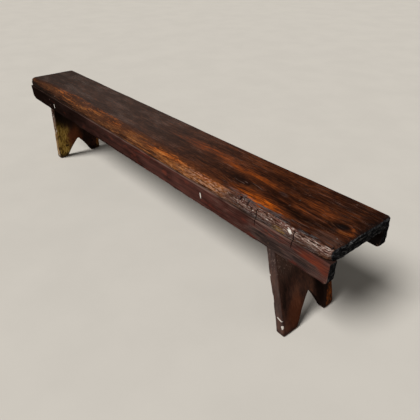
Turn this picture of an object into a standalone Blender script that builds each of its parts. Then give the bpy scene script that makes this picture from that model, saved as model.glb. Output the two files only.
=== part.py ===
"""A long low plank bench: a worn seat nailed to two leaning legs, with an apron along each side.

Metres, +Z up. The origin is on the floor under the middle of the seat. +X runs along the seat and +Y to the
back. The legs are boards that lean outwards, each with a pointed notch that leaves two feet, and with
shoulders cut into its upper corners to take the aprons. Both were sawn by hand, so they differ a little.
"""
import math
from typing import NamedTuple

import bmesh
import bpy
from mathutils import Matrix, Vector

OBJECT_NAME = "pig_bench"

# Driving dimensions: the seat
SEAT_LENGTH = 2.100
SEAT_DEPTH = 0.254
SEAT_THICKNESS = 0.040
SEAT_HEIGHT = 0.425
SEAT_CORNER = 0.010
SEAT_ARRIS = 0.004

# The front edge is worn to a bevel: it widens from the left end, runs broad, then tapers to the right end
WEAR_START = 0.024
WEAR_RISE = 0.330
WEAR_BROAD = 0.052
WEAR_NARROW = 0.012
WEAR_TAPER = 0.950
WEAR_SLOPE = math.radians(30)

# Two old saw cuts cross the front edge into the apron: how far each is from the right end, and reaches down
SAW_CUTS = ((0.277, 0.022), (0.132, 0.012))
SAW_CUT_WIDTH = 0.0028
SAW_CUT_DEPTH = 0.006

# The aprons stand on edge under the seat and a little proud of it
FRONT_APRON_HEIGHT = 0.071
REAR_APRON_HEIGHT = 0.060
APRON_THICKNESS = 0.030
APRON_PROUD = 0.006
APRON_CLIP_LENGTH = 0.024
APRON_CLIP_HEIGHT = 0.026
APRON_CLIP_BULGE = 0.003
APRON_ARRIS = 0.003
REAR_CHAMFER_HEIGHT = 0.013
REAR_CHAMFER_DEPTH = 0.017

# The legs: boards on end that lean outwards along the bench
LEG_SPLAY = math.radians(13.9)
LEG_THICKNESS = 0.032
LEG_EDGE_INSET = 0.005
LEG_ARRIS = 0.002
FOOT_CORNER = 0.010
NOTCH_BULGE = 0.005


class LegCut(NamedTuple):
    """What was sawn by eye: where the foot stands, and the notch between the two feet."""
    side: int
    foot_setback: float
    notch_width: float
    notch_height: float
    notch_middle: float


LEGS = {
    "left_leg": LegCut(
        side=-1, foot_setback=0.148, notch_width=0.152, notch_height=0.106, notch_middle=-0.004),
    "right_leg": LegCut(
        side=1, foot_setback=0.117, notch_width=0.142, notch_height=0.118, notch_middle=0.010),
}

# Cut nails with square tapered shanks and low faceted heads, sunk just under the wood
NAIL_HEAD = 0.009
NAIL_HEAD_HEIGHT = 0.0025
NAIL_SHANK = 0.0048
NAIL_TIP = 0.0024
NAIL_CROWN = 0.55
NAIL_SINK = 0.0006
SEAT_NAIL_LENGTH = 0.080
APRON_NAIL_LENGTH = 0.060
LEG_NAIL_SPREAD = 0.090
APRON_NAIL_SPREAD = 0.030
REAR_NAILS = 4
REAR_NAIL_END = 0.100
REAR_NAIL_INSET = 0.018

# Touching pieces stay this far apart
CLEARANCE = 0.0003
# Cutters run this far past what they cut
OVERRUN = 0.020

CORNER_STEPS = 6
ARCH_STEPS = 5
ARRIS_STEPS = 2
# Edges that turn more than ARRIS_ANGLE are softened, and those that turn less than FLAT_ANGLE are dissolved
ARRIS_ANGLE = math.radians(40)
FLAT_ANGLE = math.radians(0.5)
WELD = 0.00005

# Places that follow from the sizes
UNDERSIDE = SEAT_HEIGHT - SEAT_THICKNESS
APRON_FACE = SEAT_DEPTH / 2 + APRON_PROUD
APRON_MIDDLE = APRON_FACE - APRON_THICKNESS / 2
APRON_TOP = UNDERSIDE - CLEARANCE
APRON_HEIGHTS = {-1: FRONT_APRON_HEIGHT, 1: REAR_APRON_HEIGHT}
LEG_WIDTH = 2 * (APRON_FACE - LEG_EDGE_INSET)
LEG_SIDE_THICKNESS = LEG_THICKNESS / math.cos(LEG_SPLAY)

WOOD_COLOURS = {
    "seat_plank": (0.105, 0.040, 0.018),
    "front_apron": (0.070, 0.022, 0.014),
    "rear_apron": (0.045, 0.018, 0.012),
    "left_leg": (0.090, 0.055, 0.022),
    "right_leg": (0.050, 0.018, 0.013),
}
WOOD_ROUGHNESS = 0.38
IRON_COLOUR = (0.030, 0.027, 0.025)
IRON_ROUGHNESS = 0.62
IRON_METALLIC = 0.9


def clear_scene():
    """Remove every object that the scene holds."""
    for item in list(bpy.data.objects):
        bpy.data.objects.remove(item, do_unlink=True)


def new_collection(name):
    """Add a collection to the scene."""
    collection = bpy.data.collections.new(name)
    bpy.context.scene.collection.children.link(collection)
    return collection


def principled(name, colour, roughness, metallic):
    """Make a plain surface material."""
    material = bpy.data.materials.new(name)
    material.use_nodes = True
    shader = material.node_tree.nodes["Principled BSDF"]
    shader.inputs["Base Color"].default_value = (*colour, 1.0)
    shader.inputs["Roughness"].default_value = roughness
    shader.inputs["Metallic"].default_value = metallic
    material.diffuse_color = (*colour, 1.0)
    return material


def corner_arc(centre, radius, start_degrees):
    """Points of a quarter circle, anticlockwise from the start angle."""
    points = []
    for step in range(CORNER_STEPS + 1):
        angle = math.radians(start_degrees + 90 * step / CORNER_STEPS)
        points.append((centre[0] + radius * math.cos(angle), centre[1] + radius * math.sin(angle)))
    return points


def bowed(start, end, bulge, steps):
    """Points between start and end on a circular arc that bows to the left of travel."""
    start, end = Vector(start), Vector(end)
    half = (end - start).length / 2
    radius = (half * half + bulge * bulge) / (2 * bulge)
    along = (end - start).normalized()
    left = Vector((-along.y, along.x))
    centre = (start + end) / 2 + left * (bulge - radius)
    sweep = math.asin(half / radius)
    points = []
    for step in range(1, steps):
        angle = -sweep + 2 * sweep * step / steps
        spot = centre + left * radius * math.cos(angle) + along * radius * math.sin(angle)
        points.append((spot.x, spot.y))
    return points


def board(name, outline, thickness, collection):
    """Cut a board of one thickness from a flat outline in the XY plane, centred on that plane."""
    curve = bpy.data.curves.new(name, "CURVE")
    curve.dimensions = "2D"
    curve.fill_mode = "BOTH"
    curve.extrude = thickness / 2
    spline = curve.splines.new("POLY")
    spline.points.add(len(outline) - 1)
    for point, (x, y) in zip(spline.points, outline):
        point.co = (x, y, 0.0, 1.0)
    spline.use_cyclic_u = True
    drawn = bpy.data.objects.new(name + "_outline", curve)
    collection.objects.link(drawn)
    depsgraph = bpy.context.evaluated_depsgraph_get()
    mesh = bpy.data.meshes.new_from_object(drawn.evaluated_get(depsgraph))
    bpy.data.objects.remove(drawn, do_unlink=True)
    shape = bmesh.new()
    shape.from_mesh(mesh)
    bmesh.ops.remove_doubles(shape, verts=shape.verts, dist=WELD)
    bmesh.ops.dissolve_limit(shape, angle_limit=FLAT_ANGLE, verts=shape.verts, edges=shape.edges)
    bmesh.ops.recalc_face_normals(shape, faces=shape.faces)
    shape.to_mesh(mesh)
    shape.free()
    mesh.name = name
    piece = bpy.data.objects.new(name, mesh)
    collection.objects.link(piece)
    return piece


def block(name, low, high, collection):
    """Make a square block between two opposite corners."""
    mesh = bpy.data.meshes.new(name)
    shape = bmesh.new()
    bmesh.ops.create_cube(shape, size=1.0)
    size = Vector(high) - Vector(low)
    middle = (Vector(high) + Vector(low)) / 2
    fill = Matrix.Translation(middle) @ Matrix.Diagonal((*size, 1.0))
    bmesh.ops.transform(shape, matrix=fill, verts=shape.verts)
    shape.to_mesh(mesh)
    shape.free()
    piece = bpy.data.objects.new(name, mesh)
    collection.objects.link(piece)
    return piece


def as_cutter(piece):
    """Keep a cutter out of renders and show it as wire."""
    piece.hide_render = True
    piece.display_type = "WIRE"
    return piece


def soften(piece, width):
    """Take the sharp arrises off a board."""
    bevel = piece.modifiers.new("worn_arris", "BEVEL")
    bevel.width = width
    bevel.segments = ARRIS_STEPS
    bevel.limit_method = "ANGLE"
    bevel.angle_limit = ARRIS_ANGLE


def cut(piece, cutter, operation="DIFFERENCE"):
    """Cut a piece with a cutter, or keep only what lies inside it."""
    boolean = piece.modifiers.new(cutter.name, "BOOLEAN")
    boolean.operation = operation
    boolean.object = cutter
    boolean.solver = "EXACT"


def wear_width(x):
    """How far the worn bevel reaches in from the seat's front edge at x."""
    rise = (WEAR_BROAD - WEAR_START) * (SEAT_LENGTH / 2 + x) / WEAR_RISE
    fall = (WEAR_BROAD - WEAR_NARROW) * (SEAT_LENGTH / 2 - x) / WEAR_TAPER
    return min(WEAR_START + rise, WEAR_BROAD, WEAR_NARROW + fall)


def seat_surface(x, y):
    """Height of the seat's upper surface, on the flat or on the worn bevel."""
    worn = wear_width(x) - (y + SEAT_DEPTH / 2)
    return SEAT_HEIGHT - max(0.0, worn) * math.tan(WEAR_SLOPE)


def plane_cutter(name, start, end, slope, reach, collection):
    """A block whose lower face is the plane that holds a line and a slope, to cut away what is above it."""
    along = (end - start).normalized()
    up = slope.cross(along).normalized()
    across = up.cross(along)
    half = (end - start).length / 2 + SEAT_LENGTH
    cutter = as_cutter(block(name, (-half, -2 * reach, 0.0), (half, reach, reach), collection))
    turn = Matrix((along, across, up)).transposed().to_4x4()
    cutter.matrix_world = Matrix.Translation((start + end) / 2) @ turn
    return cutter


def wear_cutter(collection):
    """What has worn off the front edge: all above a broad bevel and above two that narrow its ends."""
    left, right = -SEAT_LENGTH / 2, SEAT_LENGTH / 2
    slope = Vector((0.0, -math.cos(WEAR_SLOPE), -math.sin(WEAR_SLOPE)))
    reach = 2 * WEAR_BROAD + SEAT_THICKNESS

    def bevel(name, *line):
        start, end = (Vector((x, width - SEAT_DEPTH / 2, SEAT_HEIGHT)) for x, width in line)
        return plane_cutter(name, start, end, slope, reach, collection)

    worn = bevel("worn_front_broad", (left, WEAR_BROAD), (right, WEAR_BROAD))
    cut(worn, bevel("worn_front_left", (left, WEAR_START), (left + WEAR_RISE, WEAR_BROAD)), "INTERSECT")
    cut(worn, bevel("worn_front_right", (right - WEAR_TAPER, WEAR_BROAD), (right, WEAR_NARROW)), "INTERSECT")
    return worn


def chamfer_cutter(collection):
    """What is planed off the outer lower arris of the rear apron."""
    half_length = SEAT_LENGTH / 2
    height = APRON_TOP - REAR_APRON_HEIGHT + REAR_CHAMFER_HEIGHT
    start = Vector((half_length, APRON_FACE, height))
    end = Vector((-half_length, APRON_FACE, height))
    slope = Vector((0.0, -REAR_CHAMFER_DEPTH, -REAR_CHAMFER_HEIGHT))
    return plane_cutter("rear_chamfer_cutter", start, end, slope, APRON_THICKNESS, collection)


def saw_cuts(pieces, collection):
    """Cross the front edge of the seat and the top of the front apron with the old saw cuts."""
    front = -SEAT_DEPTH / 2
    for number, (from_end, reach) in enumerate(SAW_CUTS, start=1):
        x = SEAT_LENGTH / 2 - from_end
        low = (x - SAW_CUT_WIDTH / 2, front - OVERRUN, UNDERSIDE - reach)
        high = (x + SAW_CUT_WIDTH / 2, front + SAW_CUT_DEPTH, SEAT_HEIGHT + OVERRUN)
        cutter = as_cutter(block(f"saw_cut_{number}", low, high, collection))
        for piece in pieces:
            cut(piece, cutter)


def seat_outline():
    """The seat from above, its corners rubbed a little round."""
    x, y = SEAT_LENGTH / 2 - SEAT_CORNER, SEAT_DEPTH / 2 - SEAT_CORNER
    points = []
    for centre, start in (((-x, -y), 180), ((x, -y), 270), ((x, y), 0), ((-x, y), 90)):
        points += corner_arc(centre, SEAT_CORNER, start)
    return points


def make_seat(parts, cutters):
    """The seat plank, worn along its front edge."""
    seat = board("seat_plank", seat_outline(), SEAT_THICKNESS, parts)
    seat.location.z = SEAT_HEIGHT - SEAT_THICKNESS / 2
    soften(seat, SEAT_ARRIS)
    cut(seat, wear_cutter(cutters))
    return seat


def apron_outline(height):
    """An apron from the side, on its lower edge, with the lower left corner clipped to a curve."""
    half = SEAT_LENGTH / 2
    clip_start = (-half, APRON_CLIP_HEIGHT)
    clip_end = (-half + APRON_CLIP_LENGTH, 0.0)
    points = [(half, 0.0), (half, height), (-half, height), clip_start]
    points += bowed(clip_end, clip_start, APRON_CLIP_BULGE, CORNER_STEPS)[::-1]
    points.append(clip_end)
    return points


def make_apron(name, side, parts):
    """One apron, at the front (side -1) or the back (side 1)."""
    height = APRON_HEIGHTS[side]
    apron = board(name, apron_outline(height), APRON_THICKNESS, parts)
    apron.rotation_euler.x = math.radians(90)
    apron.location = (0.0, side * APRON_MIDDLE, APRON_TOP - height)
    soften(apron, APRON_ARRIS)
    return apron


def leg_outline(sizes):
    """A leg board face on: two feet either side of a pointed notch, and square upper corners."""
    half = LEG_WIDTH / 2
    lean = 1 / math.cos(LEG_SPLAY)
    notch_front = sizes.notch_middle - sizes.notch_width / 2
    notch_back = sizes.notch_middle + sizes.notch_width / 2
    apex = (sizes.notch_middle, sizes.notch_height * lean)
    top = UNDERSIDE * lean + OVERRUN
    foot = -OVERRUN
    points = [(notch_back, foot), (half - FOOT_CORNER, foot)]
    points += corner_arc((half - FOOT_CORNER, FOOT_CORNER), FOOT_CORNER, 270)
    points += [(half, top), (-half, top)]
    points += corner_arc((-half + FOOT_CORNER, FOOT_CORNER), FOOT_CORNER, 180)
    points += [(-half + FOOT_CORNER, foot), (notch_front, foot), (notch_front, 0.0)]
    points += bowed((notch_front, 0.0), apex, NOTCH_BULGE, ARCH_STEPS)
    points.append(apex)
    points += bowed(apex, (notch_back, 0.0), NOTCH_BULGE, ARCH_STEPS)
    points.append((notch_back, 0.0))
    return points


def apron_space(side, cutters):
    """The room that an apron needs, to cut the shoulders of the legs."""
    half = SEAT_LENGTH / 2
    inner = APRON_FACE - APRON_THICKNESS - CLEARANCE
    outer = APRON_FACE + OVERRUN
    low_y, high_y = sorted((side * inner, side * outer))
    low = (-half, low_y, APRON_TOP - APRON_HEIGHTS[side] - CLEARANCE)
    high = (half, high_y, UNDERSIDE + OVERRUN)
    name = "front_apron_space" if side < 0 else "rear_apron_space"
    return as_cutter(block(name, low, high, cutters))


def level_slab(cutters):
    """The room between the floor and the seat, to trim the legs level at both ends."""
    x, y = SEAT_LENGTH / 2, SEAT_DEPTH
    low = (-x, -y, 0.0)
    high = (x, y, UNDERSIDE - CLEARANCE)
    return as_cutter(block("floor_to_seat", low, high, cutters))


def leg_middle(sizes, z):
    """Where the middle of a leg's thickness is along the bench at a height."""
    foot = SEAT_LENGTH / 2 - sizes.foot_setback - LEG_SIDE_THICKNESS / 2
    return sizes.side * (foot - z * math.tan(LEG_SPLAY))


def make_leg(name, sizes, slab, spaces, parts):
    """One leg, leaning outwards from under the seat."""
    leg = board(name, leg_outline(sizes), LEG_THICKNESS, parts)
    stand = Matrix(((0, 0, 1, 0), (1, 0, 0, 0), (0, 1, 0, 0), (0, 0, 0, 1)))
    lean = Matrix.Rotation(-sizes.side * LEG_SPLAY, 4, "Y")
    leg.matrix_world = Matrix.Translation((leg_middle(sizes, 0.0), 0.0, 0.0)) @ lean @ stand
    soften(leg, LEG_ARRIS)
    cut(leg, slab, "INTERSECT")
    for space in spaces:
        cut(leg, space)
    return leg


def nail_mesh(name, length, slack, headroom):
    """A nail pointing down from its head at the origin, or with slack the hole that it needs."""
    mesh = bpy.data.meshes.new(name)
    shape = bmesh.new()
    corner = math.sqrt(0.5)
    shank_top = -NAIL_HEAD_HEIGHT - slack
    tip = -length - slack
    square = Matrix.Rotation(math.radians(45), 4, "Z")
    bmesh.ops.create_cone(
        shape,
        cap_ends=True,
        segments=4,
        radius1=(NAIL_TIP + 2 * slack) * corner,
        radius2=(NAIL_SHANK + 2 * slack) * corner,
        depth=shank_top - tip,
        matrix=Matrix.Translation((0.0, 0.0, (shank_top + tip) / 2)) @ square,
    )
    # The head grows out of the top of the shank: out sideways, then up its rim, then in to the crown
    rim = (NAIL_HEAD + 2 * slack) / (NAIL_SHANK + 2 * slack)
    rim_top = headroom if headroom else -NAIL_HEAD_HEIGHT / 2
    steps = [(rim, shank_top), (1.0, rim_top)]
    if not headroom:
        steps.append((NAIL_CROWN, 0.0))
    top = max(shape.faces, key=lambda face: face.calc_center_median().z)
    for scale, height in steps:
        grown = bmesh.ops.extrude_face_region(shape, geom=[top])
        bmesh.ops.delete(shape, geom=[top], context="FACES_ONLY")
        top = next(item for item in grown["geom"] if isinstance(item, bmesh.types.BMFace))
        for vert in top.verts:
            vert.co = Vector((vert.co.x * scale, vert.co.y * scale, height))
    bmesh.ops.recalc_face_normals(shape, faces=shape.faces)
    shape.to_mesh(mesh)
    shape.free()
    return mesh


def drive_nail(name, place, direction, length, pieces, parts, cutters):
    """Drive a nail into the pieces, which get a hole that clears it."""
    turn = Vector(direction).to_track_quat("-Z", "Y").to_matrix().to_4x4()
    sunk = Vector(place) + Vector(direction) * NAIL_SINK
    matrix = Matrix.Translation(sunk) @ turn
    nail = bpy.data.objects.new(name, nail_mesh(name, length, 0.0, 0.0))
    parts.objects.link(nail)
    nail.matrix_world = matrix
    hole_name = name + "_hole"
    hole = as_cutter(bpy.data.objects.new(hole_name, nail_mesh(hole_name, length, CLEARANCE, OVERRUN)))
    cutters.objects.link(hole)
    hole.matrix_world = matrix
    for piece in pieces:
        cut(piece, hole)
    return nail


def nail_seat_to_legs(seat, legs, parts, cutters):
    """Three nails through the seat into the top of each leg."""
    down = (0.0, 0.0, -1.0)
    nails = []
    for leg in legs:
        x = leg_middle(LEGS[leg.name], SEAT_HEIGHT - SEAT_NAIL_LENGTH / 2 - SEAT_THICKNESS / 2)
        for step, place in enumerate(("front", "middle", "back")):
            y = (step - 1) * LEG_NAIL_SPREAD / 2
            name = f"seat_nail_{leg.name}_{place}"
            top = (x, y, seat_surface(x, y))
            nails.append(drive_nail(name, top, down, SEAT_NAIL_LENGTH, (seat, leg), parts, cutters))
    return nails


def nail_seat_to_rear_apron(seat, apron, parts, cutters):
    """A row of nails through the seat into the top edge of the rear apron."""
    down = (0.0, 0.0, -1.0)
    nails = []
    span = SEAT_LENGTH - 2 * REAR_NAIL_END
    y = SEAT_DEPTH / 2 - REAR_NAIL_INSET
    for step in range(REAR_NAILS):
        x = -span / 2 + span * step / (REAR_NAILS - 1)
        name = f"seat_nail_{apron.name}_{step + 1}"
        top = (x, y, seat_surface(x, y))
        nails.append(drive_nail(name, top, down, SEAT_NAIL_LENGTH, (seat, apron), parts, cutters))
    return nails


def nail_aprons_to_legs(aprons, legs, parts, cutters):
    """Two nails through each apron into the edge of each leg."""
    nails = []
    for side, apron in aprons.items():
        inward = (0.0, -side, 0.0)
        for leg in legs:
            for level, place in ((-0.5, "lower"), (0.5, "upper")):
                z = APRON_TOP - APRON_HEIGHTS[side] / 2 + level * APRON_NAIL_SPREAD
                spot = (leg_middle(LEGS[leg.name], z), side * APRON_FACE, z)
                name = f"{apron.name}_nail_{leg.name}_{place}"
                nails.append(drive_nail(name, spot, inward, APRON_NAIL_LENGTH, (apron, leg), parts, cutters))
    return nails


def build():
    """Make the whole bench."""
    clear_scene()
    parts = new_collection(OBJECT_NAME)
    cutters = new_collection(OBJECT_NAME + "_cutters")

    seat = make_seat(parts, cutters)
    aprons = {-1: make_apron("front_apron", -1, parts), 1: make_apron("rear_apron", 1, parts)}
    cut(aprons[1], chamfer_cutter(cutters))
    saw_cuts((seat, aprons[-1]), cutters)
    slab = level_slab(cutters)
    spaces = [apron_space(side, cutters) for side in aprons]
    legs = [make_leg(name, sizes, slab, spaces, parts) for name, sizes in LEGS.items()]

    nails = nail_seat_to_legs(seat, legs, parts, cutters)
    nails += nail_seat_to_rear_apron(seat, aprons[1], parts, cutters)
    nails += nail_aprons_to_legs(aprons, legs, parts, cutters)

    for piece in (seat, *aprons.values(), *legs):
        colour = WOOD_COLOURS[piece.name]
        piece.data.materials.append(principled(piece.name + "_wood", colour, WOOD_ROUGHNESS, 0.0))
    iron = principled("nail_iron", IRON_COLOUR, IRON_ROUGHNESS, IRON_METALLIC)
    for nail in nails:
        nail.data.materials.append(iron)


build()
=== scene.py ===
import math
from functools import reduce

import bmesh
import bpy
import numpy as np
from bpy.props import FloatProperty, FloatVectorProperty, PointerProperty
from mathutils import Color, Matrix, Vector, noise


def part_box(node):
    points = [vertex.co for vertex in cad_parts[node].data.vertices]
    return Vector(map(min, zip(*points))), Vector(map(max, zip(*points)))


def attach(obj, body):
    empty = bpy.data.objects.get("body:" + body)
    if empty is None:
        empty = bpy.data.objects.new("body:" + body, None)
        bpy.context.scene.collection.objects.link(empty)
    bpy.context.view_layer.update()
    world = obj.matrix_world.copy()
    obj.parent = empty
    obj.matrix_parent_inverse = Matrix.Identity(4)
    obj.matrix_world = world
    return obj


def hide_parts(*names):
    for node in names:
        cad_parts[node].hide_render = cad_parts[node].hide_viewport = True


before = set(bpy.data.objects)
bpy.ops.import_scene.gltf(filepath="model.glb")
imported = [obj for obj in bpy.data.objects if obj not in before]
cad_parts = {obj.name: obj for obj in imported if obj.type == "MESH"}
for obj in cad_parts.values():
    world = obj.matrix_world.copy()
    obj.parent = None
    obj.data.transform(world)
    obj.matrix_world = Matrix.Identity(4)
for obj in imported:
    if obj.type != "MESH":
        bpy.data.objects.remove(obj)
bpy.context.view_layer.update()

bl_info = {
    "name": "Pig Bench",
    "version": (1, 0, 0),
    "blender": (4, 5, 0),
    "location": "3D View > Sidebar > Bench",
    "description": "A long worn plank bench on two notched board legs",
    "category": "Object",
}

SEAT_LOW, SEAT_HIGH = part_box("seat_plank")
APRON_LOW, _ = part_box("front_apron")
SEAT_NAILS = [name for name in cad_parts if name.startswith("seat_nail")]
APRON_NAILS = [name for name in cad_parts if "apron_nail_" in name]
SAW_CUTS = ((0.773, 1), (0.918, 0.9), (0.752, 0.45))
EDGE_NICKS = ((0.694, 0.005), (0.729, 0.004))
X, Y, Z = 0, 1, 2
SEAT_SLICES = ((Z, 11), (Y, 51), (X, 19), (X, 27))
APRON_SLICES = ((Y, 11), (Z, 23), (X, 19), (X, 20))
CUT_CROWD = [(place, 0.006, 6) for place, _ in SAW_CUTS[:2]]
GATHER_STEPS, SEED_STEP = 4001, 7.31
END_TURN = (0.55, 0.9)
DENT_REACH, LEG_BULGE = 0.008, 0.0009
LEG_ROOM = Vector((0.05, 0.0004, 0.0004))
SKY_TINT = (1, 0.98, 0.95)
FLOOR_SIZE, FLOOR_SHADE, SENSOR_WIDTH = 60, 0.96, 36


def tone(*parts):
    """A colour as it is picked on screen, 0 to 255, turned into Blender's linear values."""
    return tuple(Color([part / 255 for part in parts]).from_srgb_to_scene_linear())


def number(name, description, default, **limits):
    """A number that a user may change."""
    return FloatProperty(name=name, description=description, default=default, **limits)


def vector(name, description, default, **kind):
    """Some numbers that a user may change together."""
    return FloatVectorProperty(name=name, description=description, default=default,
                               size=len(default), **kind)


def length(name, description, *sizes):
    """One or more sizes in metres that a user may change."""
    if len(sizes) > 1:
        return vector(name, description, sizes, unit="LENGTH")
    return number(name, description, *sizes, min=0, unit="LENGTH")


def angle(name, description, degrees):
    """An angle that a user may change."""
    return number(name, description, math.radians(degrees), subtype="ANGLE", unit="ROTATION")


def colour(name, description, *parts):
    """A colour that a user may change."""
    return vector(name, description, tone(*parts), subtype="COLOR", min=0, max=1)


class BenchWear(bpy.types.PropertyGroup):
    """How far the boards are worn"""
    broad_wear: length("Broad wear", "Width and height of the worn edge at the left", 0.052, 0.033)
    narrow_wear: length("Narrow wear", "Width and height of the worn edge at the right", 0.011, 0.014)
    back_arris: length("Back arris", "Rounding of the back edge of the seat", 0.008)
    back_bow: length("Back bow", "How far the back edge of the seat is hollowed", 0.004)
    left_corner: length("Left corner", "Rounding of the front left corner of the seat", 0.009)
    saw_cut: length("Saw cut", "Width and depth of the cuts in the front edge", 0.0034, 0.006)
    apron_arris: length("Apron arris", "Rounding of the long edges of the aprons", 0.005)
    apron_clip: length("Apron clip", "Size of an apron's clipped lower left corner", 0.025)
    chamfer: length("Chamfer", "Depth and height of the chamfer under the rear apron", 0.017, 0.013)
    leg_thickness: length("Leg thickness", "Thickness of the leg boards, measured level", 0.033)
    left_notch: length("Left notch", "Width, height and place of the left notch", 0.152, 0.106, -0.004)
    right_notch: length("Right notch", "Width, height and place of the right notch", 0.142, 0.118, 0.01)
    notch_bulge: length("Notch bulge", "How far the sides of a notch bow outwards", 0.005)
    foot_corner: length("Foot corner", "Rounding of the outer corners of the feet", 0.01)
    leg_grid: length("Leg grid", "Size of the facets of a leg", 0.0026)
    nail_dent: length("Nail dent", "How far the wood is pressed in round a nail", 0.0007)


class BenchColours(bpy.types.PropertyGroup):
    """The colours of the old finish"""
    top_dark: colour("Seat, dark", "Dark grain of the near half", 30, 14, 8)
    top_mid: colour("Seat, middle", "Plain varnish of the near half", 54, 27, 15)
    top_light: colour("Seat, light", "Light grain of the near half", 88, 44, 21)
    # Painted reflection: the three far-half colours are greyed for the sheen of the pale surroundings on
    # the far half, on top of the varnish's own colour.
    far_dark: colour("Far seat, dark", "Dark grain of the far half", 40, 25, 20)
    far_mid: colour("Far seat, middle", "Plain varnish of the far half", 54, 35, 28)
    far_light: colour("Far seat, light", "Light grain of the far half", 76, 47, 36)
    flare_low: colour("Flare, deep", "Deep orange where the varnish is thin", 120, 56, 18)
    flare: colour("Flare", "Orange where the varnish is thin", 192, 94, 22)
    russet: colour("Russet", "Red-brown in the middle of the seat", 104, 46, 27)
    gold_dark: colour("Worn edge, dark", "Varnish left in the front edge", 56, 31, 18)
    gold_low: colour("Worn edge, deep", "Thin varnish of the front edge", 90, 54, 32)
    gold: colour("Worn edge", "Bare golden wood of the front edge", 130, 78, 38)
    gold_light: colour("Worn edge, light", "Palest streaks of the front edge", 194, 138, 80)
    ash: colour("Burnt edge", "Blue-grey wood along the near top edge", 74, 67, 66)
    # Grey also serves as painted highlight and sheen on the aprons and the right leg.
    grey: colour("Weathered edge", "Grey wood of the near front edge", 108, 84, 74)
    # Pink also serves the painted glint lines on the seat.
    pink: colour("Weathered edge, pale", "Pale pinkish wood of the near front edge", 156, 130, 118)
    char: colour("End grain", "Charcoal end grain", 36, 36, 37)
    char_light: colour("End grain, pale", "Pale dust on the end grain", 92, 91, 90)
    soot: colour("Soot", "Darkest end grain", 12, 12, 13)
    pitch: colour("Pitch", "Nearly black old varnish and dirt", 14, 8, 6)
    apron_red: colour("Apron", "Red-brown varnish of the aprons", 62, 35, 30)
    apron_light: colour("Apron, light", "Light grain of the aprons", 92, 51, 43)
    apron_glow: colour("Apron, warm", "Warm red varnish at the aprons' right end", 106, 48, 35)
    apron_grey: colour("Apron, dull", "Dull grey patch near the aprons' right end", 56, 46, 44)
    apron_dark: colour("Apron, dark", "Dark grain of the aprons", 34, 17, 14)
    ochre: colour("Ochre paint", "Old paint left on the left leg", 134, 102, 42)
    ochre_light: colour("Ochre paint, light", "Palest old paint on the left leg", 176, 146, 78)
    leg_brown: colour("Leg", "Brown varnish of the legs", 57, 36, 29)
    leg_dark: colour("Leg, dark", "Dark grain of the legs", 31, 21, 17)
    leg_light: colour("Leg, light", "Light grain of the legs", 88, 54, 39)
    chip: colour("Chip", "Pale filler and bare chips", 214, 206, 196)
    iron: colour("Nail", "Dull oxide on the nails", 44, 36, 31)
    rust: colour("Nail rust", "Brown rust on the nails", 66, 38, 24)


class BenchStage(bpy.types.PropertyGroup):
    """The floor, the light, the background and the camera"""
    floor: colour("Floor", "Colour of the floor", 212, 206, 196)
    background: colour("Background", "Colour seen and mirrored beyond the floor", 203, 198, 188)
    key_level: number("Key light", "Strength of the broad light from the front", 3.3, min=0)
    key_angle: angle("Key breadth", "How broad the light looks from the bench", 24)
    key_height: angle("Key height", "How high the light stands", 51)
    sky_level: number("Sky", "Strength of the even light all round", 0.12, min=0)
    camera_place: vector("Camera place", "Where the camera stands", (1.497, -0.8706, 1.054),
                         subtype="TRANSLATION", unit="LENGTH")
    camera_turn: vector("Camera turn", "How the camera is turned",
                        [math.radians(turn) for turn in (52.963, 0.502, 50.657)],
                        subtype="EULER", unit="ROTATION")
    camera_lens: number("Lens", "Focal length on a 36 mm sensor", 35.65, min=1)
    camera_shift: vector("Shift", "Sideways and upward shift of the lens", (-0.01076, 0.09239))


# Shapes

def smooth(values, start, end):
    """An eased step from 0 at start to 1 at end."""
    run = np.clip((values - start) / (end - start), 0, 1)
    return run * run * (3 - 2 * run)


def flow(points, scale, seed, octaves=3):
    """Soft noise, about -1 to 1, with its own scale along each axis."""
    spots = points * np.array(scale) + seed * SEED_STEP
    return np.array([noise.fractal(Vector(spot), 1, 2, octaves) for spot in spots])


def read_points(mesh, what="co"):
    """The places or the normals of a mesh's points, as one array."""
    values = np.empty(len(mesh.vertices) * 3)
    mesh.vertices.foreach_get(what, values)
    return values.reshape(-1, 3)


def write_points(mesh, points):
    """Put a mesh's points where an array says, and read their normals."""
    mesh.vertices.foreach_set("co", points.ravel())
    mesh.update()
    return read_points(mesh, "normal")


def deselect():
    """Leave nothing selected."""
    bpy.ops.object.select_all(action="DESELECT")


def only(piece):
    """Select one piece and make it the active one."""
    deselect()
    piece.select_set(True)
    bpy.context.view_layer.objects.active = piece


def block(name, low, high):
    """A cube that fills one box, with its place in its mesh."""
    deselect()
    low, high = Vector(low), Vector(high)
    bpy.ops.mesh.primitive_cube_add(size=1, location=(low + high) / 2, scale=high - low)
    piece = bpy.context.object
    piece.name = name
    bpy.ops.object.transform_apply()
    return piece


def pick_edges(piece, wanted):
    """Select, in edit mode, only the edges whose two ends pass a test."""
    bpy.ops.mesh.select_mode(type="EDGE")
    bpy.ops.mesh.select_all(action="DESELECT")
    grid = bmesh.from_edit_mesh(piece.data)
    for edge in grid.edges:
        edge.select_set(wanted(*(vert.co for vert in edge.verts)))
    bmesh.update_edit_mesh(piece.data)


def gather(points, axis, low, high, places):
    """Crowd the slices of a block round some places, each (place, reach, gain)."""
    steps = np.linspace(low[axis], high[axis], GATHER_STEPS)
    crowd = np.ones_like(steps)
    for place, reach, gain in places:
        crowd += gain * np.exp(-((steps - place) / reach) ** 2)
    run = np.concatenate(([0], np.cumsum((crowd[1:] + crowd[:-1]) / 2)))
    share = (points[:, axis] - low[axis]) / (high[axis] - low[axis])
    points[:, axis] = np.interp(share, run / run[-1], steps)


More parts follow.
